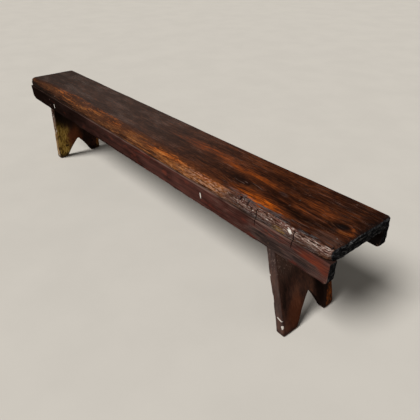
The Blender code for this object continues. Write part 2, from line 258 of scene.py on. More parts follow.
def sliced_block(name, low, high, slices, crowds):
    """A block cut into a grid, axis by axis, and its points once they are gathered."""
    piece = block(name, low, high)
    bpy.ops.object.mode_set(mode="EDIT")
    for axis, cuts in slices:
        pick_edges(piece, lambda start, end: abs((end - start)[axis]) > 0.9 * (end - start).length)
        bpy.ops.mesh.subdivide(number_cuts=cuts)
    bpy.ops.object.mode_set(mode="OBJECT")
    points = read_points(piece.data)
    for axis, places in crowds.items():
        gather(points, axis, low, high, places)
    return piece, points


def ease(points, low, high, first, second, fullness):
    """Wear down the arris between two faces, each given as (axis, side, reach).

    Fullness 1 rounds it, 0 cuts it flat. The result climbs from 0 at the second face to 1 at
    the first, and is -1 where the wear doesn't reach.
    """
    reach_a, reach_b = first[2], second[2]
    depth_a, depth_b = (high[axis] - points[:, axis] if side > 0 else points[:, axis] - low[axis]
                        for axis, side, _ in (first, second))
    near_a = np.clip(1 - depth_a / reach_a, 0, 1)
    near_b = np.clip(1 - depth_b / reach_b, 0, 1)
    worn = (depth_a <= reach_a) & (depth_b <= reach_b) & (near_a + near_b > 0)
    most = np.maximum(np.maximum(near_a, near_b), 1e-9)
    across = np.where(near_b >= near_a, 0.5 * near_a / most, 1 - 0.5 * near_b / most)
    turn = across * math.pi / 2
    rim_a = reach_a * ((1 - fullness) * (1 - across) + fullness * (1 - np.sin(turn)))
    rim_b = reach_b * ((1 - fullness) * across + fullness * (1 - np.cos(turn)))
    for (axis, side, reach), rim in ((first, rim_a), (second, rim_b)):
        inset = reach - most * (reach - rim)
        moved = high[axis] - inset if side > 0 else low[axis] + inset
        points[:, axis] = np.where(worn, moved, points[:, axis])
    return np.where(worn, across, -1)


def relax(mesh, points, share, rounds):
    """Draw each point towards its neighbours, by its own share, round by round."""
    ends = np.empty(len(mesh.edges) * 2, dtype=np.int32)
    mesh.edges.foreach_get("vertices", ends)
    start, stop = ends[0::2], ends[1::2]
    count = np.bincount(ends, minlength=len(points))[:, None]
    share = np.where(share > 1e-3, share, 0)
    used = (share[start] > 0) | (share[stop] > 0)
    start, stop = start[used], stop[used]
    for _ in range(rounds):
        total = np.zeros_like(points)
        np.add.at(total, start, points[stop])
        np.add.at(total, stop, points[start])
        points = points + 0.5 * share[:, None] * (total / count - points)
    return points


def even(axis_a, side_a, axis_b, side_b, reach, fullness=1):
    """An arris that is worn alike on both faces."""
    return (axis_a, side_a, reach), (axis_b, side_b, reach), fullness


def ease_all(points, low, high, arrises):
    """Wear down some arrises; 1 in the middle of each and 0 away from them."""
    most = 0
    for arris in arrises:
        across = ease(points, low, high, *arris)
        most = np.maximum(most, np.where(across < 0, 0, 1 - np.abs(across * 2 - 1)))
    return most


def saw_cut(points, normals, place, wear, strength):
    """Push the points of one saw cut into the wood."""
    width, depth = wear.saw_cut
    cut = np.clip(1 - np.abs(points[:, X] - place) / (width / 2), 0, 1)
    return points - normals * (cut ** 0.6 * strength * depth)[:, None]


def press(points, normals, nails, axis, side, wear):
    """Bring the wood round each nail to just below its head."""
    for name in nails:
        low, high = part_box(name)
        head = high[axis] - wear.nail_dent if side > 0 else low[axis] + wear.nail_dent
        apart = sum((points[:, other] - (low[other] + high[other]) / 2) ** 2
                    for other in (X, Y, Z) if other != axis)
        pull = np.exp(-(apart / DENT_REACH ** 2) ** 1.5) * (normals[:, axis] * side > 0.3)
        points[:, axis] += (head - points[:, axis]) * pull


def complete(piece, points, **masks):
    """Put the points in place, store the masks for the finish and shade smooth."""
    write_points(piece.data, points)
    for name, values in masks.items():
        mask = piece.data.attributes.new(name, "FLOAT", "POINT")
        mask.data.foreach_set("value", np.asarray(values, dtype=np.float32))
    only(piece)
    bpy.ops.object.shade_smooth()
    return piece


def shape_seat(wear):
    """Wear a sliced block to the shape of the old seat."""
    low, high = SEAT_LOW, SEAT_HIGH
    piece, points = sliced_block("worn_seat", low, high, SEAT_SLICES, {
        X: [(low.x, 0.03, 3), (high.x, 0.03, 4), *CUT_CROWD, (0.85, 0.25, 0.8)],
        Y: [(low.y, 0.045, 3), (high.y, 0.012, 3)],
        Z: [(high.z, 0.006, 2), (low.z, 0.004, 2)]})
    mesh = piece.data
    x = points[:, X].copy()
    fade = 1 - smooth(x, 0.05, 0.95)
    wander = flow(points, (6, 0, 0), 3, 4)
    chipped = 0.01 * (1 + flow(points, (0, 38, 0), 5))
    start = 0.45 + 0.55 * smooth(x, -1.05, -0.72)
    band, drop = ((narrow + (broad - narrow) * fade) * start * (1 + wave * wander)
                  for broad, narrow, wave in zip(wear.broad_wear, wear.narrow_wear, (0.12, 0.08)))
    top, front, depth = high.z - points[:, Z], points[:, Y] - low.y, high.z - low.z
    band_place = ease(points, low, high, (Y, -1, band), (Z, 1, drop), 0.45)
    place = np.where(band_place >= 0, band_place, -np.clip((front - band) / 0.05, 0, 1))
    place = np.where((front < 1e-6) & (top > drop), 1 + (top - drop) / (depth - drop), place)
    back = (0.004 + (wear.back_arris - 0.004) * (1 - smooth(x, 0.3, 1))) * (1 + 0.35 * wander)
    arris = ease_all(points, low, high, (
        even(Y, 1, Z, 1, back, 0.8),
        even(Y, -1, Z, -1, 0.0025),
        even(Y, 1, Z, -1, 0.003),
        ((X, -1, 0.009), (Z, 1, 0.007), 0.8),
        ((X, 1, np.maximum(chipped, 0.002)), (Z, 1, np.maximum(chipped * 0.8, 0.002)), 0.3),
        even(X, -1, Z, -1, 0.002),
        even(X, 1, Z, -1, 0.004),
        even(X, -1, Y, -1, wear.left_corner),
        even(X, -1, Y, 1, 0.014),
        ((X, 1, 0.022), (Y, -1, 0.028), 0.75),
        even(X, 1, Y, 1, 0.007)))
    back_share = np.clip(points[:, Y] / high.y, 0, 1) ** 2
    points[:, Y] -= wear.back_bow * back_share * (1 - smooth(x, 0.5, 1))
    for corner_x, reach in ((low.x, 0.014), (high.x, 0.034)):
        apart = (points[:, X] - corner_x) ** 2 + (points[:, Y] - low.y) ** 2
        points = relax(mesh, points, np.exp(-(apart / reach ** 2) ** 2), 30)
    normals = write_points(mesh, points)
    end = smooth(np.abs(normals[:, X]), *END_TURN)
    worn = np.clip(1 - np.abs(place * 2 - 1) / 1.3, 0, 1)
    near = smooth(x, 0.55, 0.7)
    swell = 0.0005 * flow(points, (1.6, 9, 9), 7)
    swell += worn * (0.0011 * flow(points, (12, 40, 40), 11)
                     + near * (0.0013 * flow(points, (40, 190, 190), 13)
                               - 0.002 * smooth(flow(points, (22, 80, 80), 17), 0.25, 0.6)))
    gouged = smooth(place, 0.05, 0.3) * (1 - smooth(place, 0.6, 0.9))
    for nick_x, width in EDGE_NICKS:
        swell -= 0.005 * gouged * np.exp(-((x - nick_x) / width) ** 2)
    swell += end * (0.002 * flow(points, (90, 70, 90), 19, 4)
                    + 0.0022 * flow(points, (30, 34, 50), 23))
    points += normals * swell[:, None]
    facing = smooth(place, 0.5, 0.75) * (normals[:, Y] < -0.2)
    for cut_place, strength in SAW_CUTS:
        points = saw_cut(points, normals, cut_place, wear, strength * facing)
    press(points, normals, SEAT_NAILS, Z, 1, wear)
    return complete(piece, points, edge_place=place, arris=arris, end_face=end)


def shape_apron(node, side, wear):
    """Wear a sliced block to the shape of one apron; side -1 is the front."""
    low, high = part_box(node)
    piece, points = sliced_block(f"worn_{node}", low, high, APRON_SLICES, {
        X: [(low.x, 0.03, 4), (high.x, 0.02, 4), *CUT_CROWD, (0.85, 0.25, 0.5)],
        Z: [(low.z, 0.008, 2), (high.z, 0.006, 2)],
        Y: [(low.y, 0.006, 1.5), (high.y, 0.006, 1.5)]})
    mesh = piece.data
    depth = high.z - points[:, Z]
    wander = flow(points, (7, 0, 0), 23 + side, 4)
    ragged, upper = 1 + 0.4 * wander, 0.0026 * (1 + 0.5 * wander)
    (lower_y, lower_z), fullness = (wear.chamfer, 0.35) if side > 0 else ([wear.apron_arris] * 2, 0.8)
    arris = ease_all(points, low, high, (
        ((Y, side, lower_y * ragged), (Z, -1, lower_z * ragged), fullness),
        even(Y, side, Z, 1, upper, 0.8),
        even(Y, -side, Z, -1, 0.004),
        even(Y, -side, Z, 1, 0.002),
        ((X, -1, wear.apron_clip), (Z, -1, wear.apron_clip * 1.05), 0.5),
        ((X, 1, 0.012), (Z, -1, 0.014), 0.9),
        even(X, -1, Z, 1, 0.002),
        even(X, 1, Z, 1, 0.005),
        even(X, -1, Y, side, 0.004),
        even(X, 1, Y, side, 0.006),
        even(X, -1, Y, -side, 0.003),
        even(X, 1, Y, -side, 0.004)))
    normals = write_points(mesh, points)
    end = smooth(np.abs(normals[:, X]), *END_TURN)
    swell = 0.0005 * flow(points, (2, 12, 18), 29 + side)
    swell += arris * 0.001 * flow(points, (22, 30, 30), 31 + side)
    swell += end * 0.0018 * flow(points, (90, 90, 90), 37 + side, 4)
    points += normals * swell[:, None]
    if side < 0:
        for (place, _), reach in zip(SAW_CUTS, (0.022, 0.012)):
            facing = (1 - smooth(depth, reach * 0.7, reach)) * (normals[:, Y] < -0.2)
            points = saw_cut(points, normals, place, wear, 0.7 * facing)
    nails = [nail for nail in APRON_NAILS if nail.startswith(node)]
    press(points, normals, nails, Y, side, wear)
    return complete(piece, points, arris=arris, end_face=end)


def apply_modifier(piece, kind, **settings):
    """Add one modifier, set it and apply it."""
    only(piece)
    modifier = piece.modifiers.new(kind.title(), kind)
    for name, setting in settings.items():
        setattr(modifier, name, setting)
    bpy.ops.object.modifier_apply(modifier=modifier.name)


def carve(piece, cutter, operation):
    """Boolean one solid with another and throw the other away."""
    apply_modifier(piece, "BOOLEAN", object=cutter, operation=operation, solver="EXACT")
    bpy.data.objects.remove(cutter, do_unlink=True)


def notch_cutter(centre_x, notch, bulge):
    """The pointed foot notch of one leg: two wide discs that overlap in a lancet."""
    width, tall, place = notch
    half = width / 2
    chord = math.hypot(half, tall)
    radius = chord * chord / (8 * bulge) + bulge / 2
    back = radius - bulge
    discs = []
    for side in (-1, 1):
        across = place + side * (half / 2 - back * tall / chord)
        middle = Vector((centre_x, across, tall / 2 - back * half / chord))
        deselect()
        bpy.ops.mesh.primitive_cylinder_add(vertices=256, radius=radius, depth=0.2, location=middle,
                                            rotation=(0, math.pi / 2, 0))
        discs.append(bpy.context.object)
        bpy.ops.object.transform_apply()
    carve(discs[0], discs[1], "INTERSECT")
    return discs[0]


def round_feet(piece, low, high, corner):
    """Round the outer lower corners of the feet."""
    bpy.ops.object.mode_set(mode="EDIT")
    pick_edges(piece, lambda *ends: all(
        end.z < low.z + 1e-5 and abs(end.y) > high.y - 1e-5 for end in ends))
    bpy.ops.mesh.bevel(offset=corner, segments=5, affect="EDGES")
    bpy.ops.object.mode_set(mode="OBJECT")


def shape_leg(node, side, wear):
    """Saw one leg out of a board, wear it and lean it outwards; side 1 is the right end."""
    low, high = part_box(node)
    foot_out = high.x if side > 0 else low.x
    foot_in = foot_out - side * wear.leg_thickness
    lean = (high.x - low.x - wear.leg_thickness) / (high.z - low.z)
    left, right = sorted((foot_in, foot_out))
    piece = block(f"worn_{node}", (left, low.y, low.z), (right, high.y, high.z))
    round_feet(piece, low, high, wear.foot_corner)
    notch = wear.right_notch if side > 0 else wear.left_notch
    carve(piece, notch_cutter((left + right) / 2, notch, wear.notch_bulge), "DIFFERENCE")
    for apron in ("front_apron", "rear_apron"):
        apron_low, apron_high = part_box(apron)
        shoulder_low, shoulder_high = apron_low - LEG_ROOM, apron_high + LEG_ROOM
        shoulder_low.x, shoulder_high.x = left - LEG_ROOM.x, right + LEG_ROOM.x
        carve(piece, block("shoulder", shoulder_low, shoulder_high), "DIFFERENCE")
    apply_modifier(piece, "REMESH", mode="VOXEL", voxel_size=wear.leg_grid)
    apply_modifier(piece, "SMOOTH", factor=0.5, iterations=5)
    mesh = piece.data
    points, normals = read_points(mesh), read_points(mesh, "normal")
    bulge = points - relax(mesh, points, np.ones(len(points)), 8)
    arris = np.clip(np.einsum("ij,ij->i", bulge, normals) / LEG_BULGE, 0, 1)
    end = smooth(np.abs(normals[:, Z]), 0.7, 0.95)
    free = 1 - smooth(points[:, Z], APRON_LOW.z - 0.03, APRON_LOW.z - 0.01)
    swell = free * 0.0006 * flow(points, (10, 10, 3), 41 + side)
    swell += free * arris * (0.0012 * flow(points, (30, 30, 16), 43 + side)
                             - 0.003 * smooth(flow(points, (24, 24, 14), 47 + side), 0.3, 0.6))
    points += normals * swell[:, None]
    points[:, X] -= side * lean * (points[:, Z] - low.z)
    points[:, Z] = np.maximum(points[:, Z], low.z)
    return complete(piece, points, arris=arris, end_face=end)


# Finishes

def joined(operation):
    """A method that joins a value with another by one node."""
    return lambda self, other: self.math(operation, self, other)


class Value:
    """A number, colour or vector that changes over a surface, with Python's operators."""

    def __init__(self, finish, socket):
        self.finish, self.socket = finish, socket

    def math(self, operation, *numbers):
        return self.finish.node("Math", {"operation": operation}, dict(enumerate(numbers)))

    def __rsub__(self, other):
        return self.math("SUBTRACT", other, self)

    def __abs__(self):
        return self.math("ABSOLUTE", self)

    __add__ = __radd__ = joined("ADD")
    __mul__ = __rmul__ = joined("MULTIPLY")
    __sub__, __pow__ = joined("SUBTRACT"), joined("POWER")
    most, least = joined("MAXIMUM"), joined("MINIMUM")

    def step(self, start, end, low=0, high=1):
        """An eased step from low at start to high at end."""
        return self.finish.node("MapRange", {"interpolation_type": "SMOOTHSTEP"},
                                {"Value": self, "From Min": start, "From Max": end,
                                 "To Min": low, "To Max": high})

    def fall(self, start, end):
        """An eased step from 1 at start to 0 at end."""
        return self.step(start, end, 1, 0)

    def sway(self, size):
        """Noise turned into a swing either side of 0."""
        return (self - 0.5) * size


class Nodes:
    """A node tree that is filled from expressions, with colours called by their names."""

    def __init__(self, tree, shades=None):
        self.tree, self.shades = tree, shades

    def tint(self, shade):
        """A colour with its alpha, from its name or its three parts."""
        return (*(getattr(self.shades, shade) if isinstance(shade, str) else shade)[:3], 1)

    def fill(self, socket, value):
        """Link a value to a socket, or set a plain number or colour on it."""
        if isinstance(value, Value):
            self.tree.links.new(value.socket, socket)
        else:
            socket.default_value = self.tint(value) if socket.type == "RGBA" else value

    def node(self, kind, settings, sockets, output=0):
        """Add one node: its settings and ramp stops first, then its sockets' values or links."""
        made = self.tree.nodes.new("ShaderNode" + kind)
        for name, setting in settings.items():
            if name != "stops":
                setattr(made, name, setting)
                continue
            stops = made.color_ramp.elements
            while len(stops) < len(setting):
                stops.new(1)
            for stop, (shade, place) in zip(stops, setting.items()):
                stop.position, stop.color = place, self.tint(shade)
        for key, value in sockets.items():
            self.fill(made.inputs[key], value)
        return Value(self, made.outputs[output])


class Finish(Nodes):
    """One procedural material, whose colours are laid one over another."""

    def __init__(self, name, shades=None):
        self.material = bpy.data.materials.new(name)
        self.material.use_nodes = True
        super().__init__(self.material.node_tree, shades)
        place = self.node("TexCoord", {}, {}, "Object")
        parts = self.node("SeparateXYZ", {}, {0: place}).socket.node.outputs
        self.x, self.y, self.z = (Value(self, part) for part in parts)
        self.base = None

    def mask(self, name):
        """One of the piece's own masks."""
        return self.node("Attribute", {"attribute_name": name}, {}, "Fac")

    def texture(self, kind, place, output, **sockets):
        """One texture node, on a place that is already stretched."""
        spot = self.node("CombineXYZ", {}, dict(enumerate(place)))
        return self.node(kind, {}, {"Vector": spot, "Scale": 1, **sockets}, output)

    def noise(self, x, y, z, detail=3, rough=0.55, twist=0):
        """Soft noise, about 0.2 to 0.8."""
        return self.texture("TexNoise", (x, y, z), "Fac",
                            Detail=detail, Roughness=rough, Distortion=twist)

    def streaks(self, long, fine, detail=3, rough=0.62, twist=0, start=0, y=None):
        """Noise drawn out along the seat, by one scale along it and one across it."""
        along = self.x * long + start if start else self.x * long
        return self.noise(along, (y or self.y) * fine, self.z * fine, detail, rough, twist)

    def cells(self, *place):
        """Distance to scattered points."""
        return self.texture("TexVoronoi", place, "Distance")

    def ramp(self, value, **stops):
        """A colour ramp, given by the place of each colour."""
        return self.node("ValToRGB", {"stops": stops}, {"Fac": value})

    def blend(self, share, under, over):
        """One colour laid over another."""
        return self.node("Mix", {"data_type": "RGBA"}, {0: share, 6: under, 7: over}, 2)

    def over(self, share, colour):
        """Lay one more colour over the finish so far."""
        self.base = self.blend(share, self.base, colour)

    def spot(self, a, b, middle_a, middle_b, long, wide, turn=0):
        """1 at the middle of an ellipse on two coordinates, 0 at its rim and beyond."""
        across, up = a - middle_a, b - middle_b
        cos, sin = math.cos(turn), math.sin(turn)
        run = (across * (cos / long) + up * (sin / long)) ** 2
        rise = (up * (cos / wide) - across * (sin / wide)) ** 2
        return (1 - run - rise).most(0)

    def spots(self, a, b, places):
        """Several ellipses at once."""
        return reduce(Value.most, [self.spot(a, b, *place) for place in places])

    def bump(self, height, strength, distance, under=None):
        """Relief from a height, on top of the relief under it."""
        sockets = {"Height": height, "Strength": strength, "Distance": distance}
        if under:
            sockets["Normal"] = under
        return self.node("Bump", {}, sockets, "Normal")

    def done(self, rough, relief, specular=0, **others):
        """Fill the shader's sockets and hand over the material."""
        shader = self.tree.nodes["Principled BSDF"]
        sockets = {"Base_Color": self.base, "Roughness": rough, "Normal": relief,
                   "Specular_IOR_Level": specular, **others}
        for name, value in sockets.items():
            self.fill(shader.inputs[name.replace("_", " ")], value)
        return self.material


# Ellipses on the boards: the middle, the reach along and across and, where one is given, the turn.
SEAT_KNOTS = ((0.655, -0.046, 0.119, 0.051), (1.006, -0.02, 0.0578, 0.0408),
              (0.3, 0.05, 0.085, 0.0306), (-0.42, -0.02, 0.068, 0.0272))
WHITE_CHIPS = ((0.902, 0.408, 0.014, 0.0065, -0.6), (-1.043, 0.409, 0.0045, 0.0045))
APRON_PATCHES = ((0.85, 0.342, 0.14, 0.055), (0.965, 0.34, 0.095, 0.022, -0.08))
APRON_SCRATCHES = ((0.512, 0.352, 0.0035, 0.013, 0.2), (-0.741, 0.344, 0.0045, 0.015, 0.1))
LEG_CHIPS = ((0.9085, 0.066, 0.016, 0.0045, -0.3), (0.922, 0.042, 0.008, 0.008, -0.3))
# The same with the turn and, last, the strength.
SEAT_FLARES = ((0.745, -0.09, 0.148, 0.042, -0.03, 1.26), (0.6, 0.018, 0.18, 0.04, -0.05, 0.55),
               (0.905, 0.008, 0.09, 0.034, -0.25, 0.42), (0.34, 0.028, 0.165, 0.028, 0.04, 0.5),
               (0.87, -0.04, 0.12, 0.03, -0.1, 0.3), (1.032, -0.027, 0.026, 0.02, 0.3, 0.5),
               (0.179, 0.01, 0.05, 0.012, 0, 0.45), (0.72, 0.085, 0.28, 0.022, 0, 0.2))
SEAT_STAINS = ((0.655, -0.054, 0.11, 0.026, -0.12, 0.8), (0.838, -0.067, 0.125, 0.022, -0.08, 0.9),
               (0.982, -0.021, 0.04, 0.02, 0.3, 0.9), (0.47, -0.035, 0.19, 0.026, 0, 0.28),
               (0.8, 0.055, 0.2, 0.024, 0.02, 0.35), (1.035, 0.06, 0.04, 0.09, 0, 0.45),
               (0.2, -0.03, 0.22, 0.03, 0, 0.3), (0.955, -0.056, 0.07, 0.022, 0.1, 0.7))
FLARE_GAIN, STAIN_GAIN, KNOT_PULL = 0.17, 0.105, 0.75
# Where one face of a board gives way to the next, in metres.
SEAT_UNDER = (0.3852, 0.387)
APRON_FACE, APRON_BROW, APRON_TOP = (0.127, 0.131), (0.375, 0.381), (0.3836, 0.3842)
LEG_EDGE = (-0.125, -0.1215)


def finish_seat(shades):
    """Old varnish with flame grain, a golden worn edge and a weathered near end."""
    f = Finish("seat_old_varnish", shades)
    x, y, z = f.x, f.y, f.z
    flow_y = y + f.streaks(1.6, 8, 2, 0.55).sway(0.03)
    flow_y = flow_y + f.streaks(5, 18, 2, 0.55).sway(0.014)
    for knot in SEAT_KNOTS:
        flow_y = flow_y - (y - knot[1]) * f.spot(x, y, *knot) * KNOT_PULL
    band = f.streaks(2.4, 30, 2, 0.5, 0.3, y=flow_y)
    dash = f.streaks(8, 120, y=flow_y)
    wisp = f.streaks(15, 260, start=4, y=flow_y)
    fibre = f.streaks(34, 480, y=flow_y)
    tuft = f.streaks(42, 250, start=7, y=flow_y)
    cloud = f.streaks(8, 22, 4)
    grain = band * 0.12 + dash * 0.18 + wisp * 0.23 + fibre * 0.14 + tuft * 0.19 + cloud * 0.14
    ragged = 1 + band.sway(1.5) + dash.sway(1.6) + cloud.sway(2) + wisp.sway(1.6) + tuft.sway(1.8)
    for *place, level in SEAT_FLARES:
        grain = grain + f.spot(x, y, *place) * ragged * (FLARE_GAIN * level)
    for *place, level in SEAT_STAINS:
        grain = grain - f.spot(x, y, *place) * ragged * (STAIN_GAIN * level)
    grain = grain + x.step(-0.1, 0.3) * 0.016 - x.step(0.66, 0.86) * 0.022
    near = f.ramp(grain, pitch=0.37, top_dark=0.43, top_mid=0.5,
                  top_light=0.58, flare_low=0.66, flare=0.78)
    # Painted reflection: the far ramp is greyer than the near one, for the sheen on the far half.
    far = f.ramp(grain, pitch=0.37, far_dark=0.42, far_mid=0.5,
                 far_light=0.58, russet=0.66, flare_low=0.8)
    f.base = f.blend((x + cloud.sway(0.5)).step(0, 0.66), far, near)
    f.over(x.fall(-1, -0.4) * 0.38, "pitch")
    # Painted highlights: fine pale lines along the grain stand in for glints on the varnish ridges.
    glint_lines = f.streaks(16, 900, 2, 0.5, y=flow_y).step(0.6, 0.68)
    f.over(glint_lines * (cloud.step(0.47, 0.6) * 0.26 + x.step(0.86, 0.96) * 0.12), "pink")
    knot = f.spot(x, y, 0.773, -0.014, 0.03, 0.015, -0.2) * ragged
    f.over(knot.step(0.2, 1.1) * 0.35, "ash")
    fray = tuft.sway(3) + dash.sway(2)
    burl = f.spot(x, y, 1.016, -0.026, 0.034, 0.042) + fray
    core = f.spot(x, y, 1, -0.022, 0.026, 0.018, 0.2) + fray * 0.5
    resin = f.ramp(tuft * 0.6 + wisp * 0.4, top_dark=0.42, flare_low=0.5, gold=0.58)
    f.over(burl.step(0.2, 1) * core.fall(0, 0.5) * 0.8, resin)
    f.over(core.step(0.1, 0.9) * 0.6, "soot")
    dusted = f.spot(x, y, 1.01, -0.096, 0.07, 0.03) * ragged
    # A grey patch near the right front corner, partly streaked with the painted glint lines.
    f.over(dusted.step(0.1, 0.9) * (0.2 + 0.45 * glint_lines), "grey")
    edge = f.mask("edge_place")
    stroke = f.streaks(17, 230, 4, 0.62, 0.2)
    tick = f.streaks(64, 400)
    lick = f.streaks(6.5, 95, 3, 0.6, start=2)
    patch = f.streaks(7, 24, 3, 0.6)
    bare_at = edge.step(0.06, 0.5) * edge.step(1.1, 1.8, 1, 0.55) * x.step(-0.45, 0.45, 0.5, 1.06)
    bare_at = bare_at - edge.step(0.35, 0.9) * x.fall(-0.95, -0.55) * 0.5
    bare = bare_at + stroke.sway(1.3) + tick.sway(1.2) + patch.sway(1.6) + lick.sway(1.8)
    bare = bare.step(0.24, 1.12) * edge.step(-0.12, 0.28)
    mark = stroke * 0.36 + tick * 0.32 + lick * 0.32
    honey = f.ramp(mark, gold_dark=0.38, gold_low=0.46, gold=0.54, gold_light=0.64)
    amber = f.ramp(mark, gold_dark=0.41, flare_low=0.5, flare=0.6)
    gold = f.blend((edge + patch.sway(2)).step(0.1, 0.75, 0.3, 0.95), amber, honey)
    paled = tick.step(0.5, 0.62) * x.step(0.3, 0.56) * edge.step(0.25, 0.55) * 0.65
    # Painted sheen: pink glint lines in the worn edge.
    gold = f.blend(glint_lines * patch.step(0.44, 0.56) * 0.4 + paled, gold, "pink")
    gone = (x + cloud.sway(0.25) + stroke.sway(0.1)).step(0.56, 0.7)
    f.over(edge.step(0.2, 0.9) * 0.8, f.ramp(stroke, pitch=0.4, gold_dark=0.5, gold_low=0.62))
    under = edge.step(-0.05, 0.35) * edge.fall(0.45, 1) * (0.45 + patch.sway(1.5))
    f.over(under * (1 - gone) * x.step(-0.5, 0.1, 0.45, 1), "gold_low")
    licks = (lick * 0.4 + stroke * 0.3 + tick * 0.3).step(0.49, 0.56)
    licks = licks * f.spot(x, edge, -0.42, 0.3, 0.42, 0.45).step(0, 0.5)
    f.over(licks * 0.5, gold)
    f.over(bare * (1 - gone * 0.75) * x.step(-0.25, 0.58, 0.22, 1), gold)
    # Painted shade: the lower bevel and front face of the seat are laid nearly black towards the left
    # end.
    painted_shade_left = (edge + patch.sway(0.8)).step(0.55, 1.05) * (x + cloud.sway(0.3)).fall(-0.85, -0.2)
    f.over(painted_shade_left * 0.85, "pitch")
    crumb = f.streaks(34, 270, 5, 0.68, 0.3)
    grit = f.streaks(110, 420, 3, 0.68)
    split = f.streaks(9, 400, 3, 0.6)
    thread = f.streaks(22, 430, 3, 0.6)
    rotten = crumb * 0.36 + grit * 0.3 + thread * 0.22 + patch * 0.12
    silver = f.ramp(rotten, pitch=0.41, gold_dark=0.45, grey=0.49, pink=0.54, chip=0.61)
    brown = f.ramp(rotten, soot=0.4, leg_dark=0.45, leg_light=0.49, grey=0.53, pink=0.6)
    bleached = (f.streaks(12, 90, 4, 0.65) + (x - 0.88) * 0.7).step(0.42, 0.56)
    weathered = f.blend(bleached, brown, silver)
    rusty = f.streaks(18, 150, 4, 0.65, start=9)
    for share, shade in ((split.fall(0.38, 0.47) * 0.75, "pitch"),
                         (rusty.step(0.51, 0.6) * 0.7, "apron_light"),
                         (rusty.fall(0.36, 0.44) * 0.8, "pitch"),
                         (grit.step(0.58, 0.68) * crumb.step(0.46, 0.58) * 0.75, "chip")):
        weathered = f.blend(share, weathered, shade)
    burnt = f.ramp(crumb * 0.6 + grit * 0.4, soot=0.41, ash=0.5, char_light=0.61)
    rag_near = edge + crumb.sway(1.1) + patch.sway(0.7) + rusty.sway(0.6)
    singed = rag_near.step(-0.16, 0.02) * gone * (rusty + (0.86 - x) * 0.4).step(0.42, 0.54)
    f.over(singed * 0.92, burnt)
    f.over(rag_near.step(0.26, 0.48) * edge.step(1.1, 1.7, 1, 0.3) * gone * 0.95, weathered)
    olive = f.spot(x, z, 0.862, 0.392, 0.032, 0.013).step(0.1, 0.6)
    f.over(olive * edge.step(0.5, 0.8) * stroke.step(0.4, 0.6) * 0.7, "ochre")
    white = f.spots(x, z, WHITE_CHIPS) * edge.step(0.05, 0.2)
    flaked = white + tick.sway(2.5) + grit.sway(2.5)
    f.over(flaked.step(0.25, 0.55) * white.step(0, 0.3), "chip")
    for place, width in EDGE_NICKS:
        nick = abs(x + crumb.sway(0.02) - place).fall(width * 0.3, width * 1.1) * edge.step(0.05, 0.25)
        f.over(nick * edge.fall(0.6, 0.9) * 0.9, "soot")
    for place, level in SAW_CUTS:
        kerf = abs(x + crumb.sway(0.002) - place).fall(0.001, 0.0026) * edge.step(0.5, 0.7)
        f.over(kerf * level, "pitch")
    # Painted shade in the seam: the lowest strip of the seat's front face, over the apron, is laid
    # nearly black.
    f.over(edge.step(1.86, 1.98) * 0.9, "pitch")
    arris = f.mask("arris")
    f.over(arris.step(0.2, 0.9) * crumb.step(0.45, 0.62) * 0.3, "gold_low")
    end = f.mask("end_face")
    charred = (x + crumb.sway(0.05) + cloud.sway(0.06)).step(1.03, 1.05) * (1 - end)
    f.over(charred * 0.75, "soot")
    rings = f.noise(y * 60 + 3, z * 150, x * 60, 5, 0.7, 0.8)
    end_wood = f.ramp(rings, soot=0.42, char=0.54, char_light=0.68)
    sawn = end + arris * end.step(0.02, 0.2) * 0.4 + rings.sway(0.8)
    f.over((sawn - edge.step(0, 0.2) * (1 - end) * 0.5).step(0.2, 0.6), end_wood)
    # Painted shade: the underside of the seat is laid dark.
    f.over(z.fall(*SEAT_UNDER) * 0.8, "leg_dark")
    speck = f.cells(x * 36, y * 36, z * 36)
    f.over(speck.fall(0.035, 0.06) * cloud.step(0.6, 0.64) * 0.5, "chip")
    rough = 0.42 + cloud.sway(0.2) + fibre.sway(0.2) + 0.15 * bare + 0.2 * gone * edge.step(0, 0.2)
    rough = (rough + end * 0.35).least(0.95)
    relief = f.bump(band * 0.3 + dash * 0.4 + fibre * 0.3, 0.45, 0.0013)
    relief = f.bump((rotten + split * 0.5) * gone * edge.step(0, 0.3) + rings * end, 1, 0.003, relief)
    relief = f.bump((stroke * 0.6 + tick * 0.4) * edge.step(0, 0.3), 0.7, 0.0014, relief)
    shine = cloud.step(0.45, 0.65, 0.15, 0.24) * x.step(-0.1, 0.85, 1, 0.1)
    shine = shine * edge.step(-0.1, 0.3, 1, 0.35) * x.step(-0.9, -0.5, 0.75, 1)
    return f.done(rough, relief, Coat_Weight=shine * (1 - end), Coat_Roughness=0.18)


